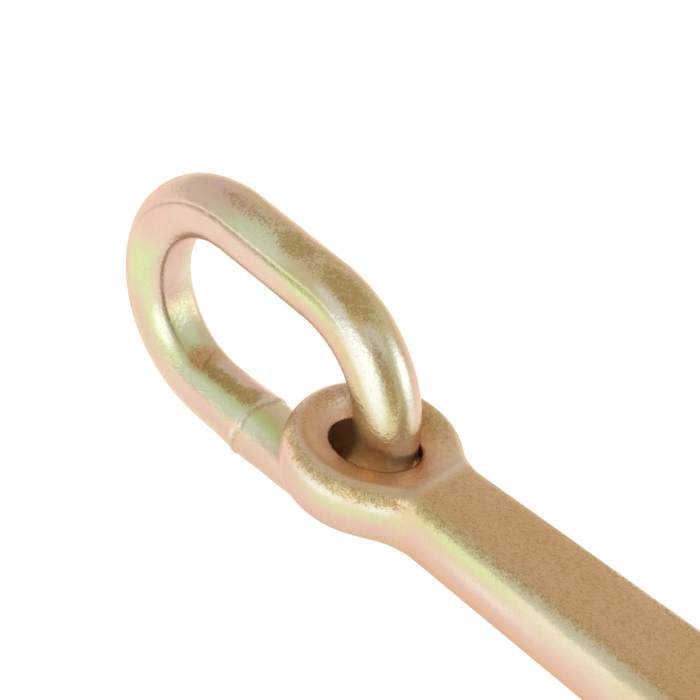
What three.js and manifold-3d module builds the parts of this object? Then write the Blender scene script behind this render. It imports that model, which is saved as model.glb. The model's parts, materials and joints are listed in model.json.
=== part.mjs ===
// Ratchet load binder with a forged eye and a welded oblong link at each end.
// Millimetres, +Z up. The barrel lies along X, the handle runs out along +Y, and z = 0 is the
// surface that the binder lies on.
import * as THREE from 'three';
import * as BufferGeometryUtils from 'three/addons/utils/BufferGeometryUtils.js';
import Module from 'manifold-3d';

// ---------- driving dimensions ----------
const BAR = 12.7;                 // link bar diameter; the eye and neck are sized from it
const GAP = 0.3;                  // working gap between touching pieces

const TUBE_R = 16;
const TUBE_BORE_R = 12.2;
const TUBE_HALF = 130;
const THREAD_R = 10;              // major radius of the take-up threads
const BUSH_FLANGE_R = 17.5;
const BUSH_FLANGE = 6;
const BUSH_LENGTH = 22;
const SEAL_R = 13.5;
const SEAL_LENGTH = 3;

const EYE_OUTER_R = 1.347 * BAR;
const EYE_HOLE_R = 0.692 * BAR;
const EYE_HEIGHT = 0.995 * BAR;
const EYE_OUTER_POWER = 2.6;      // squareness of the eye's outer flank
const NECK_THICK = 1.136 * BAR;
const NECK_W_EYE = 1.41 * BAR;
const NECK_W_END = 1.747 * BAR;
const NECK_TAPER = 4 * BAR;       // length over which the neck reaches its full width
const NECK_POWER = 4.5;           // squareness of the neck's section
const NECK_END = 84;              // eye centre to the end of the flat neck
const SHOULDER_END = 96;          // eye centre to the start of the thread
const THREAD_LENGTH = 136;
const STOP_R = 11.7;
const STOP_LENGTH = 9;
const STOP_PIN_R = 1.8;

const LINK_BEND_R = 1.6265 * BAR;  // radius of the bends' centreline
const LINK_STRAIGHT = 1.8385 * BAR;
const LINK_LEAN = 0.0446;         // how the free link leans where it lies, radians about X
const LINK_DIP = -0.0204;         // about Y
const LINK_YAW = -0.0694;         // about Z
const LINK_CENTRE = [-2.4726, 0.2957, 0.3526];  // from the eye centre, in bar diameters

const GEAR_TEETH = 12;
const GEAR_TIP_R = 23;
const GEAR_ROOT_R = 18.2;
const GEAR_WIDTH = 14;
const TOOTH_TIP_HALF = 1.5;
const TOOTH_ROOT_HALF = 2.8;
const PLATE_THICK = 7;
const PLATE_R = 24;
const PLATE_FOOT_CUT = 0.7;       // depth of the flat under each plate
const AXIS_Z = PLATE_R - PLATE_FOOT_CUT;  // height of the barrel axis over the surface
const PLATE_END_R = 14;
const RING_THICK = 2;
const RING_R = 18.6;
const RING_SPLIT = 5;
const GREASE_X = -92;
const GREASE_HOLE_R = 2.6;

const PAWL_Y = 41;                // barrel axis to the pawl pin
const PAWL_NOSE_R = 24.3;         // noses stand just outside the gear in neutral
const PAWL_NOSE_DEG = 22;
const PAWL_BACK_R = 11;
const PAWL_PIN_R = 4;
const PAWL_TAB_R = 4;             // thumb tab across the top of the pawl's stem
const PAWL_TAB_HALF = 11;
const PAWL_TAB_Z = 26;            // above the pin, clear of the plates all through the pawl's swing
const PIN_HEAD_R = 6.5;
const PIN_CLIP_R = 7;
const PIN_CLIP_THICK = 2;
const DETENT_R = 3;
const DETENT_Y = PAWL_Y + PAWL_BACK_R + GAP;
const DETENT_LENGTH = 6;
const DETENT_BORE_END = DETENT_Y + 19;
const SPRING_R = 2.3;
const SPRING_WIRE = 0.9;
const SPRING_TURNS = 5;

const BOLT_R = 4;
const BOLT_YS = [78, 94];
const BOLT_HEAD_R = 7.5;          // across corners, as for the nuts
const BOLT_HEAD = 5;
const BOLT_SPARE = 8;             // shank left outside the plates for the nut
const NUT_THICK = 6.5;
const SHANK_START = 61;
const SHANK_END = 116;            // the shank clears the plates' ends
const SHANK_HIGH = 21;
const SPIGOT_LENGTH = 27;         // the part of the shank inside the handle tube
const HANDLE_TUBE_R = 12;
const HANDLE_BORE_R = 9;
const HANDLE_LENGTH = 250;
const GRIP_R = 14.6;
const GRIP_LENGTH = 125;
// The handle tube slopes down until its grip rests on the surface.
const HANDLE_DROP = Math.asin((AXIS_Z - GRIP_R - 0.1) / (HANDLE_LENGTH + 1));

const wasm = await Module();
wasm.setup();

// ---------- materials ----------
const finish = (color, roughness, metalness) => ({ color, roughness, metalness });
const ZINC = finish(0xd2bd8a, 0.36, 0.85);
const STEEL = finish(0xb4b6b8, 0.32, 0.9);
const RUBBER = finish(0x1d1d1f, 0.75, 0.0);
const BRASS = finish(0xc9a24c, 0.3, 0.9);

const model = new THREE.Group();

function addPiece(name, geometry, look, parent = model) {
  const mesh = new THREE.Mesh(geometry, new THREE.MeshStandardMaterial(look));
  mesh.name = name;
  parent.add(mesh);
  return mesh;
}

// ---------- solids ----------
function toSolid(geometry) {
  const bare = geometry.clone();
  bare.deleteAttribute('normal');
  bare.deleteAttribute('uv');
  const merged = BufferGeometryUtils.mergeVertices(bare, 1e-4);
  return new wasm.Manifold(new wasm.Mesh({
    numProp: 3,
    vertProperties: new Float32Array(merged.attributes.position.array),
    triVerts: new Uint32Array(merged.index.array),
  }));
}

function toGeometry(solid) {
  const mesh = solid.getMesh();
  const geometry = new THREE.BufferGeometry();
  geometry.setAttribute('position', new THREE.BufferAttribute(new Float32Array(mesh.vertProperties), 3));
  geometry.setIndex(new THREE.BufferAttribute(new Uint32Array(mesh.triVerts), 1));
  geometry.computeVertexNormals();
  return geometry;
}

// A lathe or cylinder is made about Y; this turns it to lie along X, growing towards +X.
function alongX(geometry, startX, centreY = 0, centreZ = 0) {
  return geometry.rotateZ(-Math.PI / 2).translate(startX, centreY, centreZ);
}

function rod(radius, length, startX, centreY = 0, centreZ = 0, sides = 24) {
  const cylinder = new THREE.CylinderGeometry(radius, radius, length, sides);
  return alongX(cylinder, startX + length / 2, centreY, centreZ);
}

// A shape turned about Y. The outline is a list of [radius, y] points.
function lathe(outline, sides) {
  const points = outline.map(([radius, y]) => new THREE.Vector2(radius, y));
  return new THREE.LatheGeometry(points, sides);
}

// A turned ring along X. The outline is a list of [radius, x] points around the section.
function turned(outline, sides = 32) {
  return alongX(lathe([...outline, outline[0]], sides), 0);
}

// A flat outline in Y and Z, extruded along X.
function slab(shape, thickness, startX, curveSegments = 10) {
  const settings = { depth: thickness, bevelEnabled: false, curveSegments };
  const geometry = new THREE.ExtrudeGeometry(shape, settings);
  geometry.applyMatrix4(new THREE.Matrix4().makeBasis(
    new THREE.Vector3(0, 1, 0), new THREE.Vector3(0, 0, 1), new THREE.Vector3(1, 0, 0)));
  return geometry.translate(startX, 0, 0);
}

function circlePath(y, z, radius, sides = 16) {
  const points = [];
  for (let i = 0; i < sides; i += 1) {
    const angle = (-2 * Math.PI * i) / sides;
    points.push(new THREE.Vector2(y + radius * Math.cos(angle), z + radius * Math.sin(angle)));
  }
  return new THREE.Path(points);
}

// Rings of points joined by triangles; open stacks are capped at both ends.
function skin(rings, closed) {
  const sides = rings[0].length;
  const positions = rings.flat().flatMap((p) => [p.x, p.y, p.z]);
  const triangles = [];
  const last = closed ? rings.length : rings.length - 1;
  for (let i = 0; i < last; i += 1) {
    const a = i * sides;
    const b = ((i + 1) % rings.length) * sides;
    for (let j = 0; j < sides; j += 1) {
      const k = (j + 1) % sides;
      triangles.push(a + j, a + k, b + k, a + j, b + k, b + j);
    }
  }
  if (!closed) {
    const end = (rings.length - 1) * sides;
    for (let j = 1; j < sides - 1; j += 1) {
      triangles.push(0, j + 1, j);
      triangles.push(end, end + j, end + j + 1);
    }
  }
  const geometry = new THREE.BufferGeometry();
  geometry.setAttribute('position', new THREE.BufferAttribute(new Float32Array(positions), 3));
  geometry.setIndex(triangles);
  geometry.computeVertexNormals();
  return geometry;
}

// One point of a superellipse, as [across, up].
function squircle(angle, halfWidth, halfHeight, power) {
  const across = Math.sign(Math.cos(angle)) * Math.abs(Math.cos(angle)) ** (2 / power);
  const up = Math.sign(Math.sin(angle)) * Math.abs(Math.sin(angle)) ** (2 / power);
  return [halfWidth * across, halfHeight * up];
}

// ---------- end links ----------
function linkGeometry() {
  const steps = 12;
  const sides = 16;
  const half = LINK_STRAIGHT / 2;
  const path = [];
  for (let bend = 0; bend < 2; bend += 1) {
    const centreX = bend === 0 ? half : -half;
    for (let i = 0; i <= steps; i += 1) {
      const angle = Math.PI / 2 - Math.PI * bend - (Math.PI * i) / steps;
      path.push({ centreX, angle });
    }
  }
  const rings = path.map(({ centreX, angle }) => {
    const ring = [];
    for (let j = 0; j < sides; j += 1) {
      const turn = (2 * Math.PI * j) / sides;
      const radius = LINK_BEND_R + (BAR / 2) * Math.cos(turn);
      const x = centreX + radius * Math.cos(angle);
      ring.push(new THREE.Vector3(x, -(BAR / 2) * Math.sin(turn), radius * Math.sin(angle)));
    }
    return ring;
  });
  return skin(rings, true);
}

// ---------- eye screws, with the eye at the origin and the thread along +X ----------
function eyeGeometry() {
  const half = (EYE_OUTER_R - EYE_HOLE_R) / 2;
  const middle = (EYE_OUTER_R + EYE_HOLE_R) / 2;
  const outline = [];
  const sides = 14;
  for (let j = 0; j <= sides; j += 1) {
    const angle = (2 * Math.PI * (j % sides)) / sides;
    const power = Math.cos(angle) > 0 ? EYE_OUTER_POWER : 2;
    const [across, up] = squircle(angle, half, EYE_HEIGHT / 2, power);
    outline.push(new THREE.Vector2(middle + across, up));
  }
  return new THREE.LatheGeometry(outline, 36).rotateX(Math.PI / 2);
}

function neckGeometry() {
  const { clamp, lerp } = THREE.MathUtils;
  const sides = 16;
  const start = EYE_HOLE_R + 2.4;
  const flare = 7;
  const stations = [start, EYE_OUTER_R - 1, EYE_OUTER_R + 2, EYE_OUTER_R + 5, EYE_OUTER_R + 9];
  stations.push(38, 52, 68, NECK_END, 90, SHOULDER_END);
  const rings = stations.map((x) => {
    const taper = clamp((x - EYE_OUTER_R) / NECK_TAPER, 0, 1);
    const shoulder = clamp((x - NECK_END) / (SHOULDER_END - NECK_END), 0, 1);
    const fillet = Math.max(0, 1 - Math.max(x - EYE_OUTER_R + 4, 0) / flare);
    const straight = lerp(NECK_W_EYE, NECK_W_END, taper) + 4 * fillet * fillet;
    const flat = x < EYE_OUTER_R ? 0.96 * EYE_HEIGHT : NECK_THICK;
    const width = lerp(straight, 2 * THREAD_R, shoulder);
    const thick = lerp(flat, 2 * THREAD_R, shoulder);
    const power = lerp(NECK_POWER, 2, shoulder);
    const ring = [];
    for (let j = 0; j < sides; j += 1) {
      const [across, up] = squircle((2 * Math.PI * (j + 0.5)) / sides, width / 2, thick / 2, power);
      ring.push(new THREE.Vector3(x, across, up));
    }
    return ring;
  });
  return skin(rings, false);
}

function eyeScrewGeometry() {
  const threadEnd = SHOULDER_END + THREAD_LENGTH;
  const hole = new THREE.CylinderGeometry(EYE_HOLE_R, EYE_HOLE_R, 3 * EYE_HEIGHT, 36);
  hole.rotateX(Math.PI / 2);
  const thread = rod(THREAD_R, THREAD_LENGTH + 1, SHOULDER_END - 1);
  const pinX = threadEnd - STOP_LENGTH / 2 - 1;
  const pinHole = new THREE.CylinderGeometry(STOP_PIN_R + GAP, STOP_PIN_R + GAP, 4 * THREAD_R, 16)
    .rotateX(Math.PI / 2).translate(pinX, 0, 0);
  const forging = toSolid(neckGeometry()).subtract(toSolid(hole)).add(toSolid(eyeGeometry()));
  return toGeometry(forging.add(toSolid(thread)).subtract(toSolid(pinHole)));
}

function stopCollarGeometry() {
  const threadEnd = SHOULDER_END + THREAD_LENGTH;
  const start = threadEnd - STOP_LENGTH - 1;
  const collar = turned([
    [THREAD_R + GAP, start],
    [STOP_R, start],
    [STOP_R, start + STOP_LENGTH],
    [THREAD_R + GAP, start + STOP_LENGTH],
  ]);
  const pinHole = new THREE.CylinderGeometry(STOP_PIN_R + GAP, STOP_PIN_R + GAP, 4 * THREAD_R, 16)
    .rotateX(Math.PI / 2).translate(start + STOP_LENGTH / 2, 0, 0);
  return toGeometry(toSolid(collar).subtract(toSolid(pinHole)));
}

// Each end is built for the -X side; the +X side is the same group turned half round about Z.
function addEnd(side) {
  const turn = side === 'left' ? 0 : Math.PI;
  const eyeX = -(TUBE_HALF + BUSH_FLANGE + SEAL_LENGTH + 1 + SHOULDER_END);
  const end = new THREE.Group();
  end.rotation.z = turn;
  end.position.z = AXIS_Z;
  model.add(end);

  const screw = new THREE.Group();
  screw.position.x = eyeX;
  end.add(screw);
  addPiece(`eye_screw_${side}`, eyeScrewGeometry(), ZINC, screw);
  addPiece(`stop_collar_${side}`, stopCollarGeometry(), STEEL, screw);
  const pinX = SHOULDER_END + THREAD_LENGTH - STOP_LENGTH / 2 - 1;
  const pinLength = 2 * STOP_R - 1;
  const pin = new THREE.CylinderGeometry(STOP_PIN_R, STOP_PIN_R, pinLength, 16).rotateX(Math.PI / 2);
  addPiece(`stop_pin_${side}`, pin.translate(pinX, 0, 0), STEEL, screw);

  const link = addPiece(`end_link_${side}`, linkGeometry(), ZINC, screw);
  link.position.set(...LINK_CENTRE.map((value) => value * BAR));
  const leaning = new THREE.Vector3(LINK_LEAN, LINK_DIP, LINK_YAW);
  link.quaternion.setFromAxisAngle(leaning.clone().normalize(), leaning.length());

  const mouth = -TUBE_HALF;
  const seat = mouth - BUSH_FLANGE;
  const inside = mouth + BUSH_LENGTH - BUSH_FLANGE;
  const bushing = turned([
    [THREAD_R + GAP, seat],
    [BUSH_FLANGE_R - 1.5, seat],
    [BUSH_FLANGE_R, seat + 1.5],
    [BUSH_FLANGE_R, mouth - GAP],
    [TUBE_BORE_R - GAP, mouth - GAP],
    [TUBE_BORE_R - GAP, inside],
    [THREAD_R + GAP, inside],
  ]);
  addPiece(`end_bushing_${side}`, bushing, ZINC, end);
  const lip = seat - SEAL_LENGTH;
  const seal = turned([
    [THREAD_R + GAP, lip],
    [SEAL_R - 1, lip],
    [SEAL_R, lip + 1],
    [SEAL_R, seat - GAP],
    [THREAD_R + GAP, seat - GAP],
  ]);
  addPiece(`wiper_seal_${side}`, seal, RUBBER, end);

  const plateStart = -(GEAR_WIDTH / 2 + 0.5 + PLATE_THICK);
  addPiece(`retaining_ring_${side}`, retainingRingGeometry(plateStart - 0.5 - RING_THICK), STEEL, end);
  addPiece(`grease_fitting_${side}`, greaseFittingGeometry(), BRASS, end);
  return end;
}

function retainingRingGeometry(startX) {
  const ring = turned([
    [TUBE_R + GAP, startX],
    [RING_R, startX],
    [RING_R, startX + RING_THICK],
    [TUBE_R + GAP, startX + RING_THICK],
  ]);
  const split = new THREE.BoxGeometry(3 * RING_THICK, RING_SPLIT, 2 * RING_R);
  split.translate(startX, 0, RING_R);
  return toGeometry(toSolid(ring).subtract(toSolid(split)));
}

function greaseFittingGeometry() {
  const base = TUBE_BORE_R + 0.8;
  const outline = [
    [0, base],
    [GREASE_HOLE_R - GAP, base],
    [GREASE_HOLE_R - GAP, TUBE_R + 0.5],
    [4, TUBE_R + 0.5],
    [4, TUBE_R + 3],
    [2.2, TUBE_R + 4],
    [1.9, TUBE_R + 5.4],
    [2.5, TUBE_R + 6.4],
    [1.7, TUBE_R + 7.6],
    [0, TUBE_R + 7.6],
  ];
  return lathe(outline, 12).rotateX(Math.PI / 2).translate(GREASE_X, 0, 0);
}

// ---------- barrel ----------
function barrelGeometry() {
  const tube = turned([
    [TUBE_BORE_R, -TUBE_HALF],
    [TUBE_R - 1, -TUBE_HALF],
    [TUBE_R, -TUBE_HALF + 1],
    [TUBE_R, TUBE_HALF - 1],
    [TUBE_R - 1, TUBE_HALF],
    [TUBE_BORE_R, TUBE_HALF],
  ]);
  let solid = toSolid(tube);
  for (const x of [GREASE_X, -GREASE_X]) {
    const hole = new THREE.CylinderGeometry(GREASE_HOLE_R, GREASE_HOLE_R, TUBE_R, 16)
      .rotateX(Math.PI / 2).translate(x, 0, TUBE_R);
    solid = solid.subtract(toSolid(hole));
  }
  return toGeometry(solid);
}

function gearGeometry() {
  const outline = [];
  const pitch = (2 * Math.PI) / GEAR_TEETH;
  for (let tooth = 0; tooth < GEAR_TEETH; tooth += 1) {
    const middle = tooth * pitch;
    const root = TOOTH_ROOT_HALF / GEAR_ROOT_R;
    const tip = TOOTH_TIP_HALF / GEAR_TIP_R;
    const corners = [
      [GEAR_ROOT_R, -root],
      [GEAR_TIP_R, -tip],
      [GEAR_TIP_R, tip],
      [GEAR_ROOT_R, root],
      [GEAR_ROOT_R, pitch / 2],
    ];
    for (const [radius, offset] of corners) {
      const angle = middle + offset;
      outline.push(new THREE.Vector2(radius * Math.cos(angle), radius * Math.sin(angle)));
    }
  }
  const shape = new THREE.Shape(outline);
  shape.holes.push(circlePath(0, 0, TUBE_R + GAP, 32));
  return slab(shape, GEAR_WIDTH, -GEAR_WIDTH / 2);
}

// ---------- ratchet housing ----------
function plateShape() {
  const farY = BOLT_YS[1];
  const lean = Math.acos((PLATE_R - PLATE_END_R) / farY);
  const outline = new THREE.Path();
  outline.absarc(0, 0, PLATE_R, lean, 2 * Math.PI - lean, false);
  outline.absarc(farY, 0, PLATE_END_R, -lean, lean, false);
  const shape = new THREE.Shape(outline.getPoints(9));
  shape.holes.push(circlePath(0, 0, TUBE_R + 0.4, 32));
  shape.holes.push(circlePath(PAWL_Y, 0, PAWL_PIN_R + GAP));
  for (const y of BOLT_YS) {
    shape.holes.push(circlePath(y, 0, BOLT_R + GAP));
  }
  return shape;
}

function plateGeometry(startX) {
  const plate = toSolid(slab(plateShape(), PLATE_THICK, startX));
  const below = new THREE.BoxGeometry(4 * PLATE_THICK, 3 * PLATE_R, PLATE_FOOT_CUT * 2);
  below.translate(startX, 0, -PLATE_R);
  return toGeometry(plate.subtract(toSolid(below)));
}

// A bolt along X: a head outside the -X plate and a shank through to the +X side.
function boltGeometry(radius, y, headR, headX, length, headSides) {
  const head = rod(headR, BOLT_HEAD, headX - BOLT_HEAD, y, 0, headSides);
  const shank = rod(radius, length + 1, headX - 1, y, 0, 16);
  return toGeometry(toSolid(head).add(toSolid(shank)));
}

function nutGeometry(radius, y, startX, acrossR, thick, sides) {
  const nut = rod(acrossR, thick, startX, y, 0, sides);
  const hole = rod(radius + GAP, 3 * thick, startX - thick, y, 0, 16);
  return toGeometry(toSolid(nut).subtract(toSolid(hole)));
}

function pawlGeometry() {
  const nose = THREE.MathUtils.degToRad(PAWL_NOSE_DEG);
  const noseY = PAWL_NOSE_R * Math.cos(nose) - PAWL_Y;
  const noseZ = PAWL_NOSE_R * Math.sin(nose);
  const shape = new THREE.Shape();
  shape.absarc(0, 0, PAWL_BACK_R, -1.9, 1.9, false);
  shape.lineTo(noseY + 2.6, noseZ + 1.4);
  shape.lineTo(noseY + 0.3, noseZ + 0.7);
  shape.lineTo(noseY, noseZ - 1.2);
  shape.lineTo(noseY + 4.5, noseZ - 5.2);
  shape.lineTo(noseY + 4.5, -noseZ + 5.2);
  shape.lineTo(noseY, -noseZ + 1.2);
  shape.lineTo(noseY + 0.3, -noseZ - 0.7);
  shape.lineTo(noseY + 2.6, -noseZ - 1.4);
  shape.closePath();
  shape.holes.push(circlePath(0, 0, PAWL_PIN_R + GAP));
  const width = GEAR_WIDTH - 1;
  const body = toSolid(slab(shape, width, -width / 2));
  const stemStart = PAWL_BACK_R - 3;
  const stem = new THREE.BoxGeometry(width - 3, 6, PAWL_TAB_Z - stemStart)
    .translate(0, 1, (stemStart + PAWL_TAB_Z) / 2);
  const tab = rod(PAWL_TAB_R, 2 * PAWL_TAB_HALF, -PAWL_TAB_HALF, 1, PAWL_TAB_Z, 16);
  return toGeometry(body.add(toSolid(stem)).add(toSolid(tab)));
}

function shankGeometry() {
  const block = new THREE.BoxGeometry(GEAR_WIDTH, SHANK_END - SHANK_START, SHANK_HIGH)
    .translate(0, (SHANK_START + SHANK_END) / 2, 0);
  let solid = toSolid(block);
  const collar = new THREE.CylinderGeometry(HANDLE_TUBE_R, 9.5, 6, 28);
  collar.translate(0, -3, 0);
  const spigotR = HANDLE_BORE_R - GAP;
  const spigot = new THREE.CylinderGeometry(spigotR, spigotR, SPIGOT_LENGTH + 3, 28);
  spigot.translate(0, (SPIGOT_LENGTH - 3) / 2, 0);
  for (const piece of [collar, spigot]) {
    piece.rotateX(-HANDLE_DROP).translate(0, SHANK_END + 4, 0);
    solid = solid.add(toSolid(piece));
  }
  for (const y of BOLT_YS) {
    solid = solid.subtract(toSolid(rod(BOLT_R + GAP, 40, -20, y, 0, 16)));
  }
  const pocket = new THREE.CylinderGeometry(DETENT_R + GAP, DETENT_R + GAP, 60, 14)
    .translate(0, DETENT_BORE_END - 30, 0);
  return toGeometry(solid.subtract(toSolid(pocket)));
}

function detentPlungerGeometry() {
  const end = DETENT_Y + DETENT_LENGTH;
  const outline = [
    [0, DETENT_Y],
    [DETENT_R - 1.4, DETENT_Y + 0.4],
    [DETENT_R, DETENT_Y + 2],
    [DETENT_R, end],
    [0, end],
  ];
  return lathe(outline, 12);
}

class Helix extends THREE.Curve {
  constructor(radius, startY, endY, turns) {
    super();
    Object.assign(this, { radius, startY, endY, turns });
  }

  getPoint(t) {
    const angle = 2 * Math.PI * this.turns * t;
    const y = THREE.MathUtils.lerp(this.startY, this.endY, t);
    return new THREE.Vector3(this.radius * Math.cos(angle), y, this.radius * Math.sin(angle));
  }
}

function springGeometry() {
  const section = new THREE.Shape(circlePath(0, 0, SPRING_WIRE / 2, 5).getPoints());
  const startY = DETENT_Y + DETENT_LENGTH + GAP + SPRING_WIRE;
  const endY = DETENT_BORE_END - GAP - SPRING_WIRE;
  return new THREE.ExtrudeGeometry(section, {
    steps: 9 * SPRING_TURNS,
    bevelEnabled: false,
    extrudePath: new Helix(SPRING_R, startY, endY, SPRING_TURNS),
  });
}

function handleTubeGeometry() {
  const outline = [
    [HANDLE_BORE_R, GAP],
    [HANDLE_TUBE_R - 1, GAP],
    [HANDLE_TUBE_R, 1 + GAP],
    [HANDLE_TUBE_R, HANDLE_LENGTH],
    [HANDLE_BORE_R, HANDLE_LENGTH],
    [HANDLE_BORE_R, GAP],
  ];
  return lathe(outline, 24);
}

function gripGeometry() {
  const start = HANDLE_LENGTH - GRIP_LENGTH;
  const end = HANDLE_LENGTH + 5;
  const bore = HANDLE_TUBE_R + GAP;
  const outline = [
    [bore, start],
    [GRIP_R, start],
    [GRIP_R + 1.6, start + 2],
    [GRIP_R + 1.6, start + 6],
    [GRIP_R - 0.6, start + 10],
    [GRIP_R - 0.6, end - 10],
    [GRIP_R, end - 4],
    [GRIP_R - 3, end],
    [0, end],
    [0, HANDLE_LENGTH + GAP],
    [bore, HANDLE_LENGTH + GAP],
    [bore, start],
  ];
  return lathe(outline, 24);
}

function addHousing() {
  const housing = new THREE.Group();
  housing.position.z = AXIS_Z;
  model.add(housing);
  const inner = GEAR_WIDTH / 2 + 0.5;
  const outer = inner + PLATE_THICK;
  addPiece('side_plate_left', plateGeometry(-outer), ZINC, housing);
  addPiece('side_plate_right', plateGeometry(inner), ZINC, housing);
  addPiece('handle_shank', shankGeometry(), ZINC, housing);
  const stack = 2 * outer + GAP;
  const seat = outer + GAP;
  BOLT_YS.forEach((y, index) => {
    const bolt = boltGeometry(BOLT_R, y, BOLT_HEAD_R, -seat, stack + BOLT_SPARE, 6);
    const nut = nutGeometry(BOLT_R, y, seat, BOLT_HEAD_R, NUT_THICK, 6);
    addPiece(`handle_bolt_${index + 1}`, bolt, STEEL, housing);
    addPiece(`handle_nut_${index + 1}`, nut, STEEL, housing);
  });
  const pin = boltGeometry(PAWL_PIN_R, PAWL_Y, PIN_HEAD_R, -seat, stack + BOLT_SPARE - 2, 20);
  const clip = nutGeometry(PAWL_PIN_R, PAWL_Y, seat, PIN_CLIP_R, PIN_CLIP_THICK, 20);
  addPiece('pawl_pin', pin, STEEL, housing);
  addPiece('pawl_pin_clip', clip, STEEL, housing);
  const pawl = addPiece('pawl', pawlGeometry(), ZINC, housing);
  pawl.position.y = PAWL_Y;
  addPiece('detent_plunger', detentPlungerGeometry(), STEEL, housing);
  addPiece('detent_spring', springGeometry(), STEEL, housing);

  const handle = new THREE.Group();
  handle.position.y = SHANK_END + 4;
  handle.rotation.x = -HANDLE_DROP;
  housing.add(handle);
  addPiece('handle_tube', handleTubeGeometry(), ZINC, handle);
  addPiece('handle_grip', gripGeometry(), RUBBER, handle);
}

function addBarrel() {
  const barrel = new THREE.Group();
  barrel.position.z = AXIS_Z;
  model.add(barrel);
  addPiece('barrel_tube', barrelGeometry(), ZINC, barrel);
  addPiece('ratchet_gear', gearGeometry(), ZINC, barrel);
}

addEnd('left');
addEnd('right');
addHousing();
addBarrel();

// The origin is the middle of the footprint, on the surface.
const bounds = new THREE.Box3().setFromObject(model, true);
const middle = bounds.getCenter(new THREE.Vector3());
model.position.set(-middle.x, -middle.y, -bounds.min.z);

export default model;
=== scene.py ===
"""Looks of the ratchet load binder: forged eyes, welded links, threads, housing and handle."""
import json
import math
from itertools import product

import bpy
import numpy as np
from mathutils import Matrix, Vector, noise


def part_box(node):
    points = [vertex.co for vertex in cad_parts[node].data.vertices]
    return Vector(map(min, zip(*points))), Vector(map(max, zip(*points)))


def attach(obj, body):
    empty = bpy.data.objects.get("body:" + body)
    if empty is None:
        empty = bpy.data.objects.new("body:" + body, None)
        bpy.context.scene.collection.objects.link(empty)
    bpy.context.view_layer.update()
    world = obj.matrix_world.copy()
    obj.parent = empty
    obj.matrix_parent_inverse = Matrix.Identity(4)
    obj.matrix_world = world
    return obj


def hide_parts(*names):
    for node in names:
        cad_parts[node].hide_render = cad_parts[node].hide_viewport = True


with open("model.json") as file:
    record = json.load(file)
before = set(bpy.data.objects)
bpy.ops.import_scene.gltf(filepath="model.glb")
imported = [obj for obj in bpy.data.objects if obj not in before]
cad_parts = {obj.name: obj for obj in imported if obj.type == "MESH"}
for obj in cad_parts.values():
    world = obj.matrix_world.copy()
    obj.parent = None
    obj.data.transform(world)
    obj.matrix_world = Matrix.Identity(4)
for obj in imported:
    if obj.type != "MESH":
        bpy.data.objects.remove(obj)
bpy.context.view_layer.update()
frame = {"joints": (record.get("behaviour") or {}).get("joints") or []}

MM = 0.001
BAR = 12.7 * MM

# ---------- places taken from the frame ----------
JOINTS = {joint["name"]: joint for joint in frame["joints"]}
AXIS = Vector(JOINTS["barrel_spin"]["pos_m"])       # middle of the barrel's axis
EYE_OUTER_R = 1.347 * BAR
EYE_HOLE_R = 0.692 * BAR
EYE_HEIGHT = 0.995 * BAR
EYE_X = {
    "left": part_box("eye_screw_left")[0].x + EYE_OUTER_R,
    "right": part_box("eye_screw_right")[1].x - EYE_OUTER_R,
}
SIDES = {"left": 1.0, "right": -1.0}                # +1 where the thread runs towards +X


def side_frame(side):
    """Row-frame matrix of one eye: origin at the eye's centre, local +X towards the barrel."""
    turn = Matrix.Rotation(0.0 if side == "left" else math.pi, 4, "Z")
    return Matrix.Translation((EYE_X[side], AXIS.y, AXIS.z)) @ turn


# ---------- camera ----------
CAMERA_FROM_EYE = (19.758, -30.201, 30.399)         # in bar diameters
LOOK_AT = (-1.0784, 0.3643, 1.1489)                 # in bar diameters from the eye's centre
CAMERA_ROLL = 13.93                                 # degrees
CAMERA_LENS = 167.0


def make_camera():
    data = bpy.data.cameras.new("camera")
    data.lens = CAMERA_LENS
    data.sensor_width = 36.0
    data.clip_start, data.clip_end = 0.02, 60.0
    camera = bpy.data.objects.new("camera", data)
    bpy.context.collection.objects.link(camera)
    eye = side_frame("left").translation
    place = eye + Vector(CAMERA_FROM_EYE) * BAR
    ahead = (eye + Vector(LOOK_AT) * BAR - place).normalized()
    level = ahead.to_track_quat("-Z", "Y").to_matrix().to_4x4()
    roll = Matrix.Rotation(math.radians(CAMERA_ROLL), 4, "Z")
    camera.matrix_world = Matrix.Translation(place) @ level @ roll
    bpy.context.scene.camera = camera


# ---------- mesh helpers ----------
def add_piece(name, vertices, faces, body, finish, nodes=(), tone=None):
    """A mesh piece in the row frame that rides a body and may stand for CAD nodes.

    The finish is a material with its slot's name, which is not used, and the tone holds tint
    weights by vertex.
    """
    material, slot = finish
    mesh = bpy.data.meshes.new(name)
    mesh.from_pydata([tuple(map(float, v)) for v in vertices], [],
                     [tuple(map(int, f)) for f in faces])
    mesh.update()
    for tint, weights in (tone or {}).items():
        layer = mesh.attributes.new(tint, "FLOAT", "POINT")
        layer.data.foreach_set("value", np.asarray(weights, np.float32).ravel())
    mesh.polygons.foreach_set("use_smooth", [True] * len(mesh.polygons))
    piece = bpy.data.objects.new(name, mesh)
    bpy.context.collection.objects.link(piece)
    piece.data.materials.append(material)
    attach(piece, body)
    if nodes:
        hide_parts(*nodes)
    return piece


def grid_faces(rows, columns, close_rows):
    """Quads of a grid of points whose columns close on themselves."""
    faces = []
    for i in range(rows if close_rows else rows - 1):
        a, b = i * columns, ((i + 1) % rows) * columns
        for j in range(columns):
            k = (j + 1) % columns
            faces.append((a + j, a + k, b + k, b + j))
    return faces


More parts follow.
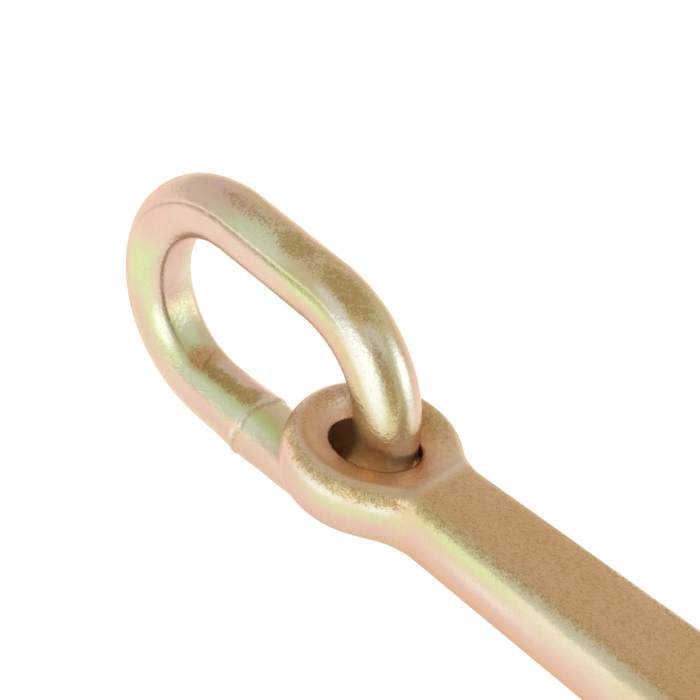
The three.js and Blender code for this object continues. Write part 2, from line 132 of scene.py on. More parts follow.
def rounded(outline, radius, steps=3):
    """A closed outline with every corner turned into a short arc."""
    points = []
    count = len(outline)
    for i in range(count):
        before, corner, after = (Vector(outline[(i + k) % count]) for k in (-1, 0, 1))
        into, out = before - corner, after - corner
        cut = min(radius, 0.45 * into.length, 0.45 * out.length)
        start, end = corner + into.normalized() * cut, corner + out.normalized() * cut
        for s in range(steps + 1):
            t = s / steps
            points.append((1 - t) ** 2 * start + 2 * t * (1 - t) * corner + t * t * end)
    return [tuple(p) for p in points]


def turned(outline, place, sides=72, radius=0.4 * MM, steps=3):
    """Vertices and faces of a ring turned about local X; the outline holds (radius, x) points."""
    points = rounded(outline, radius, steps)
    vertices = []
    for s in range(sides):
        angle = 2 * math.pi * s / sides
        for r, x in points:
            vertices.append(place @ Vector((x, r * math.cos(angle), r * math.sin(angle))))
    return vertices, grid_faces(sides, len(points), True)


def outward(vertices, faces):
    """The same faces, turned so that the closed mesh has a positive volume."""
    points = np.array([tuple(v) for v in vertices])
    volume = 0.0
    for face in faces:
        for j in range(1, len(face) - 1):
            a, b, c = points[face[0]], points[face[j]], points[face[j + 1]]
            volume += float(np.dot(a, np.cross(b, c)))
    return faces if volume > 0 else [tuple(reversed(face)) for face in faces]


def add_turned(name, outline, place, body, finish, nodes=(), **shape):
    vertices, faces = turned(outline, place, **shape)
    return add_piece(name, vertices, outward(vertices, faces), body, finish, nodes)


def add_flat(name, outlines, thickness, bevel, place, body, finish, nodes, degrees=35):
    vertices, faces = flat_solid(outlines, thickness, bevel, place)
    piece = add_piece(name, vertices, outward(vertices, faces), body, finish, nodes)
    shade_by_angle(piece, degrees)


def flat_solid(outlines, thickness, bevel, place, bevel_steps=3):
    """A plate from closed outlines, holes included, with rounded edges, as vertices and faces.

    The outlines lie in local Y and Z and the plate is centred on local x = 0.
    """
    curve = bpy.data.curves.new("outline", "CURVE")
    curve.dimensions = "2D"
    curve.fill_mode = "BOTH"
    curve.extrude = thickness / 2 - bevel
    curve.bevel_depth = bevel
    curve.bevel_resolution = bevel_steps
    curve.offset = -bevel
    for outline in outlines:
        spline = curve.splines.new("POLY")
        spline.points.add(len(outline) - 1)
        for point, (y, z) in zip(spline.points, outline):
            point.co = (y, z, 0.0, 1.0)
        spline.use_cyclic_u = True
    holder = bpy.data.objects.new("outline", curve)
    bpy.context.collection.objects.link(holder)
    mesh = holder.to_mesh()
    stand = place @ Matrix(((0, 0, 1, 0), (1, 0, 0, 0), (0, 1, 0, 0), (0, 0, 0, 1)))
    vertices = [stand @ v.co for v in mesh.vertices]
    faces = [tuple(p.vertices) for p in mesh.polygons]
    holder.to_mesh_clear()
    bpy.data.objects.remove(holder)
    bpy.data.curves.remove(curve)
    return weld(vertices, faces)


def weld(vertices, faces, distance=1e-6):
    """Joins vertices that share a place."""
    lookup, index, kept = {}, [], []
    for v in vertices:
        key = tuple(round(c / distance) for c in v)
        if key not in lookup:
            lookup[key] = len(kept)
            kept.append(v)
        index.append(lookup[key])
    joined = []
    for face in faces:
        ring = []
        for i in face:
            if not ring or index[i] != ring[-1]:
                ring.append(index[i])
        if ring[0] == ring[-1]:
            ring.pop()
        if len(set(ring)) > 2:
            joined.append(tuple(ring))
    return kept, joined


def circle(y, z, radius, sides=48):
    angles = [2 * math.pi * i / sides for i in range(sides)]
    return [(y + radius * math.cos(a), z + radius * math.sin(a)) for a in angles]


def shade_by_angle(piece, degrees=35):
    """Smooth shading with sharp edges where faces meet at more than this angle."""
    bpy.context.view_layer.objects.active = piece
    piece.select_set(True)
    bpy.ops.object.shade_smooth_by_angle(angle=math.radians(degrees))
    piece.select_set(False)
    return piece


# ---------- solids from a distance field ----------
def smooth_union(a, b, reach):
    h = np.clip(0.5 + 0.5 * (b - a) / reach, 0, 1)
    return b * (1 - h) + a * h - reach * h * (1 - h)


def smooth_cut(a, b, reach):
    """Solid a with solid b taken away."""
    return -smooth_union(-a, b, reach)


def rounded_box(x, y, z, radius):
    """Signed distance to a box, from how far past its inner faces a point is along each axis."""
    past = np.stack([x, y, z], -1)
    return np.linalg.norm(np.maximum(past, 0), axis=-1) + np.minimum(past.max(-1), 0) - radius


def field_solid(field, low, high, step):
    """Skins the zero level of field(points) with quads, then settles each vertex on the surface."""
    axes = [np.arange(lo, hi + step, step) for lo, hi in zip(low, high)]
    points = np.stack(np.meshgrid(*axes, indexing="ij"), -1)
    inside = field(points) < 0
    size = inside.shape
    corners = [inside[i:size[0] - 1 + i, j:size[1] - 1 + j, k:size[2] - 1 + k]
               for i, j, k in product((0, 1), repeat=3)]
    active = np.logical_or.reduce(corners) & ~np.logical_and.reduce(corners)
    index = np.full(active.shape, -1)
    index[active] = np.arange(active.sum())
    cells = np.argwhere(active)
    vertices = np.array(low) + (cells + 0.5) * step
    for _ in range(6):
        vertices = vertices - settle(field, vertices, step)
    faces = []
    for a in range(3):
        b, c = (a + 1) % 3, (a + 2) % 3
        first = np.take(inside, range(size[a] - 1), a)
        second = np.take(inside, range(1, size[a]), a)
        edges = np.argwhere(first != second)
        edges = edges[(edges[:, b] > 0) & (edges[:, c] > 0)]
        edges = edges[(edges[:, b] < size[b] - 1) & (edges[:, c] < size[c] - 1)]
        back_b, back_c = np.zeros(3, int), np.zeros(3, int)
        back_b[b], back_c[c] = 1, 1
        ring = [edges - back_b - back_c, edges - back_c, edges, edges - back_b]
        quads = np.stack([index[tuple(r.T)] for r in ring], 1)
        outwards = first[tuple(edges.T)]
        faces.append(np.where(outwards[:, None], quads, quads[:, ::-1]))
    return vertices, np.concatenate(faces)


def settle(field, points, step):
    """The move that takes each point off the surface, at most half a cell."""
    value = field(points)
    nudge = step * 0.2
    slope = np.stack([(field(points + nudge * e) - field(points - nudge * e)) / (2 * nudge)
                      for e in np.eye(3)], -1)
    steep = np.maximum((slope ** 2).sum(-1), 1e-3)
    move = slope * (value / steep)[:, None]
    length = np.maximum(np.linalg.norm(move, axis=-1), 1e-12)
    return move * np.minimum(1, 0.5 * step / length)[:, None]


# ---------- materials ----------
def node(tree, kind, inputs=None, **settings):
    made = tree.nodes.new(kind)
    for key, value in settings.items():
        setattr(made, key, value)
    for key, value in (inputs or {}).items():
        if isinstance(value, bpy.types.NodeSocket):
            tree.links.new(value, made.inputs[key])
        else:
            made.inputs[key].default_value = value
    return made


def mixed(tree, factor, first, second, blend="MIX"):
    """Mixes two colours, each a socket or an RGB triple."""
    made = tree.nodes.new("ShaderNodeMix")
    made.data_type = "RGBA"
    made.blend_type = blend
    for name, value in (("Factor_Float", factor), ("A_Color", first), ("B_Color", second)):
        socket = next(s for s in made.inputs if s.identifier == name)
        if isinstance(value, bpy.types.NodeSocket):
            tree.links.new(value, socket)
        elif name == "Factor_Float":
            socket.default_value = value
        else:
            socket.default_value = (*value, 1.0)
    return next(s for s in made.outputs if s.identifier == "Result_Color")


def arithmetic(tree, operation, first, second, clamp=False):
    made = tree.nodes.new("ShaderNodeMath")
    made.operation = operation
    made.use_clamp = clamp
    for socket, value in zip(made.inputs, (first, second)):
        if isinstance(value, bpy.types.NodeSocket):
            tree.links.new(value, socket)
        else:
            socket.default_value = value
    return made.outputs[0]


def ranged(tree, value, low, high, to_low=0.0, to_high=1.0):
    made = node(tree, "ShaderNodeMapRange", {"Value": value, "From Min": low, "From Max": high,
                                             "To Min": to_low, "To Max": to_high})
    made.interpolation_type = "SMOOTHSTEP"
    return made.outputs[0]


def noise_at(tree, place, scale, detail=2.0, roughness=0.5, distortion=0.0):
    inputs = {"Vector": place, "Scale": scale, "Detail": detail, "Roughness": roughness,
              "Distortion": distortion}
    return node(tree, "ShaderNodeTexNoise", inputs).outputs["Fac"]


def start_material(name, metallic, specular_tint=None):
    material = bpy.data.materials.new(name)
    material.use_nodes = True
    tree = material.node_tree
    shader = tree.nodes["Principled BSDF"]
    shader.inputs["Metallic"].default_value = metallic
    if specular_tint:
        shader.inputs["Specular Tint"].default_value = (*specular_tint, 1.0)
    place = node(tree, "ShaderNodeTexCoord").outputs["Object"]
    return material, tree, shader, place


GOLD = (0.64, 0.52, 0.28)
PALE = (0.71, 0.66, 0.48)
PINK = (0.69, 0.47, 0.40)
GREEN = (0.60, 0.68, 0.34)
COPPER = (0.66, 0.38, 0.20)
BROWN = (0.46, 0.31, 0.11)
# colour of the painted highlights
HIGHLIGHT_COLOUR = (0.80, 0.80, 0.72)
SHADOW = (0.16, 0.09, 0.035)
GRAIN = (0.36, 0.27, 0.13)
WELD_GOLD = (0.70, 0.56, 0.36)
TINTS = ("green", "pink", "copper", "painted_highlight", "brown", "painted_shade")


def painted_weight(tree, name):
    return node(tree, "ShaderNodeAttribute", attribute_name=name).outputs["Fac"]


def zinc_material(name, painted, grain=1.0, base=None):
    """Yellow passivated zinc: gold with pink and green interference tints over a fine grain.

    A painted piece carries its own tint weights, one attribute for each of TINTS; besides the
    plating's own tints these hold a painted highlight and a painted shade.
    """
    material, tree, shader, place = start_material(name, 0.94, (1.0, 0.80, 0.74))
    drift = noise_at(tree, place, 42.0, 2.0)
    patch = noise_at(tree, place, 110.0, 3.0, 0.55, 0.6)
    speck = noise_at(tree, place, 2600.0, 2.0, 0.6)
    blot = noise_at(tree, place, 1100.0, 3.0, 0.6)
    colour = mixed(tree, ranged(tree, drift, 0.3, 0.7), PALE, base or GOLD)
    if painted:
        green, pink, copper, painted_highlight, brown, painted_shade = (painted_weight(tree, tint) for tint in TINTS)
        green = arithmetic(tree, "MULTIPLY", green, ranged(tree, patch, 0.3, 0.55, 0.6, 1.0))
        pink = arithmetic(tree, "MULTIPLY", pink, ranged(tree, drift, 0.3, 0.5, 0.7, 1.0))
    else:
        green = ranged(tree, patch, 0.50, 0.66, 0.0, 0.5)
        pink = ranged(tree, drift, 0.50, 0.66, 0.0, 0.6)
        copper = ranged(tree, noise_at(tree, place, 60.0, 3.0), 0.52, 0.7, 0.0, 0.45)
        brown = ranged(tree, noise_at(tree, place, 75.0, 4.0, 0.6), 0.58, 0.72, 0.0, 0.6)
    colour = mixed(tree, green, colour, GREEN)
    colour = mixed(tree, pink, colour, PINK)
    colour = mixed(tree, copper, colour, COPPER)
    if painted:
        # painted highlight: the palest colour, laid where a piece should catch the light
        colour = mixed(tree, painted_highlight, colour, HIGHLIGHT_COLOUR)
    ragged = arithmetic(tree, "ADD", brown, ranged(tree, blot, 0.3, 0.7, -0.26, 0.26))
    ragged = arithmetic(tree, "ADD", ragged, ranged(tree, speck, 0.36, 0.64, -0.30, 0.30))
    mottle = arithmetic(tree, "MULTIPLY", ranged(tree, ragged, 0.15, 1.05),
                        ranged(tree, brown, 0.05, 0.35))
    colour = mixed(tree, arithmetic(tree, "MULTIPLY", mottle, 0.9), colour, BROWN)
    grains = ranged(tree, speck, 0.35, 0.65, 0.0, 0.12)
    colour = mixed(tree, grains, colour, GRAIN)
    if painted:
        # painted shade: darker in grooves, beside the weld's seam, along the tool mark and in the
        # eye's hole, broken up
        broken = arithmetic(tree, "MULTIPLY", painted_shade, ranged(tree, blot, 0.3, 0.6, 0.45, 1.0))
        colour = mixed(tree, broken, colour, SHADOW)
    tree.links.new(colour, shader.inputs["Base Color"])
    roughness = arithmetic(tree, "ADD", ranged(tree, patch, 0.3, 0.7, 0.20, 0.29),
                           arithmetic(tree, "MULTIPLY", mottle, 0.16))
    tree.links.new(roughness, shader.inputs["Roughness"])
    fine = node(tree, "ShaderNodeBump", {"Height": speck, "Strength": 0.42 * grain,
                                         "Distance": 0.00010})
    middling = node(tree, "ShaderNodeBump", {"Height": blot, "Strength": 0.35 * grain,
                                             "Distance": 0.00025, "Normal": fine.outputs["Normal"]})
    soft = node(tree, "ShaderNodeBump", {"Height": noise_at(tree, place, 230.0, 2.0),
                                         "Strength": 0.25 * grain, "Distance": 0.0006,
                                         "Normal": middling.outputs["Normal"]})
    tree.links.new(soft.outputs["Normal"], shader.inputs["Normal"])
    return material


def steel_material():
    material, tree, shader, place = start_material("bright_zinc_steel", 0.95)
    streak = node(tree, "ShaderNodeMapping", {"Vector": place, "Scale": (60.0, 900.0, 900.0)})
    lines = noise_at(tree, streak.outputs["Vector"], 1.0, 3.0)
    cloud = noise_at(tree, place, 160.0, 3.0)
    colour = mixed(tree, ranged(tree, cloud, 0.35, 0.65), (0.62, 0.63, 0.65), (0.74, 0.74, 0.73))
    tree.links.new(colour, shader.inputs["Base Color"])
    tree.links.new(ranged(tree, lines, 0.3, 0.7, 0.22, 0.42), shader.inputs["Roughness"])
    bump = node(tree, "ShaderNodeBump", {"Height": lines, "Strength": 0.15, "Distance": 0.0001})
    tree.links.new(bump.outputs["Normal"], shader.inputs["Normal"])
    return material


def rubber_material():
    material, tree, shader, place = start_material("black_rubber", 0.0)
    pores = noise_at(tree, place, 1300.0, 3.0, 0.6)
    dust = noise_at(tree, place, 45.0, 4.0, 0.6)
    colour = mixed(tree, ranged(tree, dust, 0.45, 0.75), (0.018, 0.018, 0.02), (0.05, 0.049, 0.047))
    tree.links.new(colour, shader.inputs["Base Color"])
    tree.links.new(ranged(tree, dust, 0.3, 0.7, 0.48, 0.68), shader.inputs["Roughness"])
    bump = node(tree, "ShaderNodeBump", {"Height": pores, "Strength": 0.3, "Distance": 0.00015})
    tree.links.new(bump.outputs["Normal"], shader.inputs["Normal"])
    return material


def brass_material():
    material, tree, shader, place = start_material("turned_brass", 1.0)
    cloud = noise_at(tree, place, 420.0, 3.0)
    colour = mixed(tree, ranged(tree, cloud, 0.35, 0.7), (0.78, 0.58, 0.25), (0.60, 0.42, 0.18))
    tree.links.new(colour, shader.inputs["Base Color"])
    tree.links.new(ranged(tree, cloud, 0.3, 0.7, 0.22, 0.4), shader.inputs["Roughness"])
    return material


def floor_material():
    material, tree, shader, place = start_material("pale_floor", 0.0)
    shader.inputs["Roughness"].default_value = 0.9
    shader.inputs["Specular IOR Level"].default_value = 0.1
    cloud = noise_at(tree, place, 3.0, 2.0)
    colour = mixed(tree, cloud, (0.58, 0.58, 0.58), (0.60, 0.60, 0.60))
    tree.links.new(colour, shader.inputs["Base Color"])
    shader.inputs["Emission Color"].default_value = (1.0, 1.0, 1.0, 1.0)
    shader.inputs["Emission Strength"].default_value = FLOOR_GLOW
    return material


# Each finish is a material and the record's slot that it belongs to.
LINK_ZINC = zinc_material("zinc_yellow_link", painted=True), "zinc_yellow_link"
FORGED_ZINC = zinc_material("zinc_yellow_forging", painted=True, grain=1.15), "zinc_yellow_forging"
BODY_ZINC = zinc_material("zinc_yellow_body", painted=False, grain=0.7), "zinc_yellow_body"
PLATE_ZINC = zinc_material("zinc_yellow_plate", painted=False, grain=1.2), "zinc_yellow_body"
WELD_ZINC = (zinc_material("zinc_yellow_weld", painted=False, grain=1.6, base=WELD_GOLD),
             "zinc_yellow_body")
STEEL = steel_material(), "bright_steel"
RUBBER = rubber_material(), "black_rubber"
BRASS = brass_material(), "brass"


# ---------- end links ----------
LINK_BEND_R = 1.6265 * BAR
LINK_STRAIGHT = 1.8385 * BAR
LINK_TURN = Vector((0.0446, -0.0204, -0.0694))      # rotation vector of the free link, radians
LINK_CENTRE = Vector((-2.4726, 0.2957, 0.3526)) * BAR
WELD_S = 7.80                                       # along the centreline, in bar diameters
MARK_S = 9.12
BEND_S = math.pi * LINK_BEND_R / BAR
STRAIGHT_S = LINK_STRAIGHT / BAR
LOOP_S = 2 * (BEND_S + STRAIGHT_S)
NEAR_S = STRAIGHT_S + 0.5 * BEND_S                  # middle of the bend in the eye
FAR_S = 2 * STRAIGHT_S + 1.5 * BEND_S

# Tinted areas of the bar: the tint, where along the bar and at what angle from outwards, in degrees
# towards the link's -Y face, the half lengths of the area, and its weight. The areas in the palest
# tint are painted highlights, the brown streak at 3.35 is a painted dark reflection, and the copper
# at 4.52, inside the eye, is the bar's coppery tone darkened with painted shade.
LINK_TINTS = (
    ("brown", 0.15, 16, 0.42, 14, 0.55),
    ("brown", 1.50, 8, 1.30, 24, 0.52),
    ("brown", 1.22, 12, 0.36, 22, 0.95),
    ("brown", 2.22, 13, 0.42, 22, 0.95),
    # painted dark reflection: a brown streak between two highlights on the bend in the eye
    ("brown", 3.35, 29, 0.45, 8, 0.75),
    # painted highlights in the palest tint on the bend in the eye
    ("painted_highlight", 3.05, 56, 0.75, 16, 0.95),
    ("painted_highlight", 3.40, -2, 0.45, 9, 0.90),
    ("painted_highlight", 2.90, 24, 0.22, 14, 0.60),
    ("painted_highlight", 2.25, 46, 0.30, 8, 0.70),
    ("painted_highlight", 10.15, 132, 0.40, 11, 0.80),
    ("painted_highlight", 0.75, 50, 0.50, 7, 0.45),
    ("copper", 9.15, 176, 0.26, 34, 0.85),
    ("brown", 8.45, 164, 0.62, 14, 1.00),
    ("brown", 7.98, 170, 0.16, 20, 0.95),
    ("brown", 9.20, 168, 0.30, 22, 0.50),
    # coppery inside the eye: the bar's own tone with painted shade; the next area is a painted
    # highlight
    ("copper", 4.52, 20, 0.40, 120, 0.72),
    ("painted_highlight", 4.32, 16, 0.24, 24, 0.75),
    # painted highlights along the lower bar's flank
    ("painted_highlight", 7.70, 128, 0.30, 14, 0.55),
    ("painted_highlight", 8.60, 128, 0.90, 10, 0.45),
    ("painted_highlight", 7.40, 128, 0.30, 12, 0.35),
    ("painted_highlight", 0.60, 34, 0.50, 14, 0.40),
    ("copper", 0.90, -20, 1.30, 18, 0.40),
    ("green", 0.45, 40, 0.55, 16, 0.85),
    ("green", 1.60, 72, 0.75, 12, 0.80),
    ("green", 1.00, 46, 0.60, 10, 0.45),
    ("green", 3.30, 50, 0.60, 12, 0.60),
    ("green", 2.90, 4, 0.50, 9, 0.45),
    ("green", 11.45, 108, 0.60, 34, 0.80),
    ("green", 9.90, 112, 0.70, 26, 0.90),
    ("green", 8.50, 136, 1.00, 16, 0.95),
    ("green", 7.45, 132, 0.40, 26, 1.10),
    ("green", 10.0, 170, 0.50, 24, 1.00),
    ("pink", 12.9, 92, 0.95, 60, 1.00),
    ("pink", 0.30, 92, 1.10, 26, 0.85),
    ("pink", 11.6, 166, 1.00, 34, 1.10),
    ("pink", 11.5, 40, 1.60, 34, 0.75),
    ("pink", 9.20, 96, 1.50, 18, 0.85),
    ("pink", 8.40, 195, 0.60, 15, 0.85),
    ("painted_highlight", 9.95, 176, 0.35, 18, 0.55),
    ("pink", 13.6, 22, 0.60, 26, 0.80),
    ("pink", 2.20, 104, 1.00, 18, 0.60),
    ("pink", 7.00, 96, 1.00, 30, 0.65),
    ("pink", 3.60, -22, 0.70, 18, 0.55),
)


def bell(distance, width):
    return np.exp(-(distance / width) ** 2)


def link_path(travel):
    """Centreline of the oblong link in its own X and Z: places and outward angles."""
    half = STRAIGHT_S / 2
    radius = BEND_S / math.pi
    x, z, angle = (np.zeros(len(travel)) for _ in range(3))
    for i, s in enumerate(travel):
        if s < STRAIGHT_S:                          # upper bar, towards the eye
            x[i], z[i], angle[i] = s - half, radius, math.pi / 2
        elif s < STRAIGHT_S + BEND_S:               # bend in the eye
            angle[i] = math.pi / 2 - (s - STRAIGHT_S) / radius
            x[i], z[i] = half + radius * math.cos(angle[i]), radius * math.sin(angle[i])
        elif s < 2 * STRAIGHT_S + BEND_S:           # lower bar, away from the eye
            x[i], z[i], angle[i] = half - (s - STRAIGHT_S - BEND_S), -radius, -math.pi / 2
        else:                                       # far bend
            angle[i] = -math.pi / 2 - (s - 2 * STRAIGHT_S - BEND_S) / radius
            x[i], z[i] = -half + radius * math.cos(angle[i]), radius * math.sin(angle[i])
    return x * BAR, z * BAR, angle


def along_gap(s, centre):
    """Distance along the closed centreline, in bar diameters, with its sign."""
    return (s - centre + LOOP_S / 2) % LOOP_S - LOOP_S / 2


def round_gap(t, degrees):
    """Angle round the section from a given one, in radians, with its sign."""
    return (t - math.radians(degrees) + math.pi) % (2 * math.pi) - math.pi


def weld_gap(s, t):
    """Distance along the bar from the weld's ragged seam, in bar diameters."""
    ragged = 0.06 * np.sin(t + 0.6) + 0.02 * np.sin(5 * t + 1.0)
    ragged = ragged + 0.014 * np.sin(13 * t) * np.sin(2 * t + 1)
    return along_gap(s, WELD_S) - ragged


def mark_gap(s, t):
    """Distance along the bar from the slanting tool mark, in bar diameters."""
    return along_gap(s, MARK_S) + 0.28 * np.sin(t)


def innermost(t):
    """1 along the line of the bar that faces the middle of the link, falling off to both sides."""
    return np.clip(-np.cos(t), 0, 1) ** 6


def link_radius(s, t):
    """Radius of the bar, in bar diameters, along its length and round its section."""
    bends = np.maximum(1.25 - np.abs(along_gap(s, FAR_S)) / (0.5 * BEND_S),
                       1.25 - np.abs(along_gap(s, NEAR_S)) / (0.5 * BEND_S))
    bends = np.clip(bends, 0, 1)
    radius = 0.5 + 0.0 * (s + t)
    # the mandrel flattens the inner face of each bend, with an edge on both sides of the flat
    inwards = np.maximum(-np.cos(t), 0.2)
    flattened = np.where(np.cos(t) < -0.2, np.minimum(0.5, 0.405 / inwards), 0.5)
    radius = radius + (flattened - radius) * np.clip(1.15 * bends, 0, 1)
    # draw lines run along the bar's flanks
    upper = bell(along_gap(s, 0.6), 2.9)
    for degrees, width, depth in ((65, 0.035, 0.012), (-65, 0.035, 0.012), (14, 0.03, 0.005)):
        radius = radius - depth * bell(round_gap(t, degrees), width) * upper
    radius = radius + 0.006 * bell(round_gap(t, 58), 0.06) * upper
    # the flash-butt weld is a swelling with a rough trimmed ridge round it
    offset = along_gap(s, WELD_S)
    seam = weld_gap(s, t)
    radius = radius + 0.034 * bell(offset, 0.36)
    radius = radius + 0.018 * bell(seam, 0.034) - 0.010 * bell(seam + 0.09, 0.04)
    # tool mark on the inner face near the far bend
    return radius - 0.014 * bell(mark_gap(s, t), 0.035) * innermost(t)


def link_tone(s, t):
    """Tint weights over the bar's surface, among them painted highlights and painted shade."""
    tone = {tint: 0.0 * (s + t) for tint in TINTS}
    for tint, centre, degrees, length, spread, weight in LINK_TINTS:
        along, across = along_gap(s, centre) / length, round_gap(t, degrees) / math.radians(spread)
        area = weight * np.clip(1.35 - 0.7 * (along ** 2 + across ** 2), 0, 1)
        tone[tint] = np.maximum(tone[tint], area)
    upper = np.clip(1.6 - np.abs(along_gap(s, 0.25)) / 1.6, 0, 1)
    # painted shade: dark lines along the draw lines, the far bend's inner edge and the tool mark
    tone["painted_shade"] = 0.55 * bell(round_gap(t, 65), 0.030) * upper
    tone["painted_shade"] = np.maximum(tone["painted_shade"], 0.30 * bell(round_gap(t, 14), 0.028) * upper)
    bends = np.clip(1.4 - np.abs(along_gap(s, 10.9)) / 1.3, 0, 1)
    tone["painted_shade"] = np.maximum(tone["painted_shade"], 0.85 * bell(round_gap(t, 148), 0.038) * bends)
    tone["painted_shade"] = np.maximum(tone["painted_shade"], 0.45 * bell(mark_gap(s, t), 0.03) * innermost(t))
    # the weld's seam: a painted highlight on its ridge in patches, and painted shade in the groove
    # beside it
    seam = weld_gap(s, t)
    patchy = 0.5 + 0.5 * np.sin(3 * t + 2.3) * np.sin(8 * t)
    tone["painted_shade"] = np.maximum(tone["painted_shade"], 0.45 * bell(seam + 0.07, 0.03) * (1 - 0.5 * patchy))
    tone["painted_highlight"] = np.maximum(tone["painted_highlight"], 0.75 * bell(seam, 0.034) * patchy)
    return tone


def add_link(side):
    stations, around = 440, 88
    travel = np.arange(stations) / stations * LOOP_S
    turn = 2 * math.pi * np.arange(around) / around
    x, z, angle = (values[:, None] for values in link_path(travel))
    s, t = travel[:, None], turn[None, :]
    wobble = np.array([[noise.noise(Vector((1.6 * math.cos(a) + 7, 1.6 * math.sin(a), 1.7 * q)))
                        for a in turn] for q in travel])
    radius = BAR * (link_radius(s, t) + 0.005 * wobble)
    out = radius * np.cos(t)
    local = np.stack([x + out * np.cos(angle), -radius * np.sin(t), z + out * np.sin(angle)], -1)
    place = (side_frame(side) @ Matrix.Translation(LINK_CENTRE)
             @ Matrix.Rotation(LINK_TURN.length, 4, LINK_TURN.normalized()))
    vertices = [place @ Vector(p) for p in local.reshape(-1, 3)]
    faces = outward(vertices, grid_faces(stations, around, True))
    return add_piece("welded_link_" + side, vertices, faces, "link_" + side, LINK_ZINC,
                     ["end_link_" + side], tone=link_tone(s, t))


# ---------- eye screws ----------
NECK_THICK = 1.136 * BAR
NECK_W_EYE = 1.41 * BAR
NECK_W_END = 1.747 * BAR
NECK_TAPER = 4 * BAR
NECK_END = 84 * MM
SHOULDER_END = 96 * MM
THREAD_R = 10 * MM
THREAD_LENGTH = 136 * MM
THREAD_PITCH = 4 * MM


FUNNEL_TOP_R = 1.03 * BAR                           # where the countersink meets the eye's top
FUNNEL_FOOT_Z = 0.295 * BAR
FUNNEL_TILT = 0.10 * BAR                            # it is this much shallower on one side
SHALLOW_SIDE = (0.547, -0.837)                      # and that side's direction in X and Y
FLAT_START = (0.95 * BAR, 1.32 * BAR)               # the neck's top rises to its flat between these


def eye_field(points):
    """Signed size of the forging: the round eye and the flat-sided neck, with the hole cut out."""
    x, y, z = points[..., 0], points[..., 1], points[..., 2]
    out = np.hypot(x, y)
    half = (EYE_OUTER_R - EYE_HOLE_R) / 2
    middle = (EYE_OUTER_R + EYE_HOLE_R) / 2
    q = np.maximum(out - middle, 0) / half
    ring = (q ** 2.6 + np.abs(2 * z / EYE_HEIGHT) ** 2.6) ** (1 / 2.6)
    ring = (ring - 1) * half
    taper = np.clip((x - EYE_OUTER_R) / NECK_TAPER, 0, 1)
    shoulder = np.clip((x - NECK_END) / (SHOULDER_END - NECK_END), 0, 1)
    shoulder = shoulder * shoulder * (3 - 2 * shoulder)
    rise = np.clip((x - FLAT_START[0]) / (FLAT_START[1] - FLAT_START[0]), 0, 1)
    rise = rise * rise * (3 - 2 * rise)
    flat = 0.93 * EYE_HEIGHT + (NECK_THICK - 0.93 * EYE_HEIGHT) * rise
    width = NECK_W_EYE + (NECK_W_END - NECK_W_EYE) * taper
    width = width * (1 - shoulder) + 2 * THREAD_R * shoulder
    thick = flat * (1 - shoulder) + 2 * THREAD_R * shoulder
    power = 4.6 * (1 - shoulder) + 2 * shoulder
    neck = (np.abs(2 * y / width) ** power + np.abs(2 * z / thick) ** power) ** (1 / power)
    neck = (neck - 1) * NECK_THICK / 2
    neck = np.maximum(neck, 0.2 * BAR - x)
    neck = np.maximum(neck, x - (SHOULDER_END + 1 * MM))
    body = smooth_union(ring, neck, 3.6 * MM)
    shallow = (SHALLOW_SIDE[0] * x + SHALLOW_SIDE[1] * y) / np.maximum(out, 0.1 * BAR)
    foot = FUNNEL_FOOT_Z + FUNNEL_TILT * shallow
    slope = (EYE_HEIGHT / 2 - foot) / (FUNNEL_TOP_R - EYE_HOLE_R)
    funnel = ((out - EYE_HOLE_R) * slope - (z - foot)) / np.sqrt(1 + slope * slope)
    return smooth_cut(body, np.minimum(out - EYE_HOLE_R, funnel), 0.7 * MM)


